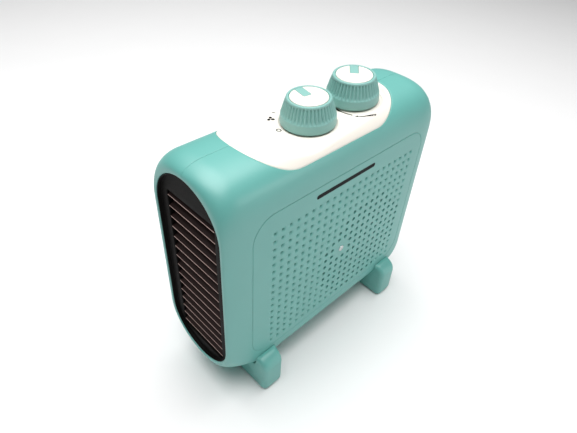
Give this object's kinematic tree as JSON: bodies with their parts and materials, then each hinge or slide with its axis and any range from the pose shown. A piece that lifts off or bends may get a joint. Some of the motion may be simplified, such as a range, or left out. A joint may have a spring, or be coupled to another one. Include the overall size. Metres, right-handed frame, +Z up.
{
  "type": "fan convector heater",
  "caption": "Upright plastic fan heater with a louvred front outlet, perforated side intakes, two fluted control knobs on a pale top panel and cross feet.",
  "frame": {"origin": "on the ground under the middle of the body, centred between the outlet rim and the back and between the two sides", "axes": "+Z up; -Y towards the louvred outlet at the front; +X towards the right side as seen from the front"},
  "size_m": [0.115, 0.262, 0.2697],
  "materials": {
    "body_plastic": "satin moulded teal plastic",
    "panel_plastic": "glossy off-white plastic",
    "dark_plastic": "dark brown-black heat-resistant plastic",
    "louvre_plastic": "dark brown plastic with worn light edges",
    "switch_plastic": "black moulded phenolic",
    "ceramic": "glazed cream insulating ceramic",
    "steel": "zinc-plated steel",
    "mica": "pressed mica board",
    "heating_wire": "oxidised resistance wire",
    "duct_plastic": "natural grey-white heat-resistant plastic",
    "iron": "laminated electrical steel",
    "copper": "enamelled copper wire",
    "brass": "sintered bronze bushes",
    "gland_rubber": "black rubber-like plastic"
  },
  "bodies": {
    "housing": {"shell_right": "body_plastic", "shell_left": "body_plastic", "shell_screws": "steel", "side_grille_right": "body_plastic", "side_grille_left": "body_plastic", "grille_screws": "steel", "outlet_frame": "dark_plastic", "outlet_louvres": "louvre_plastic", "control_panel": "panel_plastic", "rotary_switch": "switch_plastic", "thermostat": "ceramic", "foot_front": "body_plastic", "foot_rear": "body_plastic", "foot_screws": "steel", "heater_frame": "steel", "mica_cards": "mica", "heating_coils": "heating_wire", "thermal_cutout": "steel", "scroll_housing": "duct_plastic", "scroll_cover": "duct_plastic", "motor_stator": "iron", "motor_winding": "copper", "motor_brackets": "steel", "motor_bearings": "brass", "motor_screws": "steel", "terminal_block": "duct_plastic", "cable_gland": "gland_rubber"},
    "switch_control": {"switch_knob": "body_plastic", "switch_knob_cap": "panel_plastic", "switch_spindle": "steel"},
    "thermostat_control": {"thermostat_knob": "body_plastic", "thermostat_knob_cap": "panel_plastic", "thermostat_spindle": "steel"},
    "fan_rotor": {"fan_wheel": "duct_plastic", "motor_shaft": "steel", "motor_rotor": "steel"}
  },
  "joints": [
    {"name": "switch_turn", "type": "hinge", "parent": "housing", "child": "switch_control", "pos_m": [0, -0.0062, 0.2426], "axis": [0, -0.0593, 0.9982], "range_deg": [0, 90]},
    {"name": "thermostat_turn", "type": "hinge", "parent": "housing", "child": "thermostat_control", "pos_m": [0, 0.0493, 0.2459], "axis": [0, -0.0593, 0.9982], "range_deg": [0, 220]},
    {"name": "fan_spin", "type": "hinge", "parent": "housing", "child": "fan_rotor", "pos_m": [0, 0.0416, 0.10225], "axis": [1, 0, 0], "continuous": true}
  ]
}
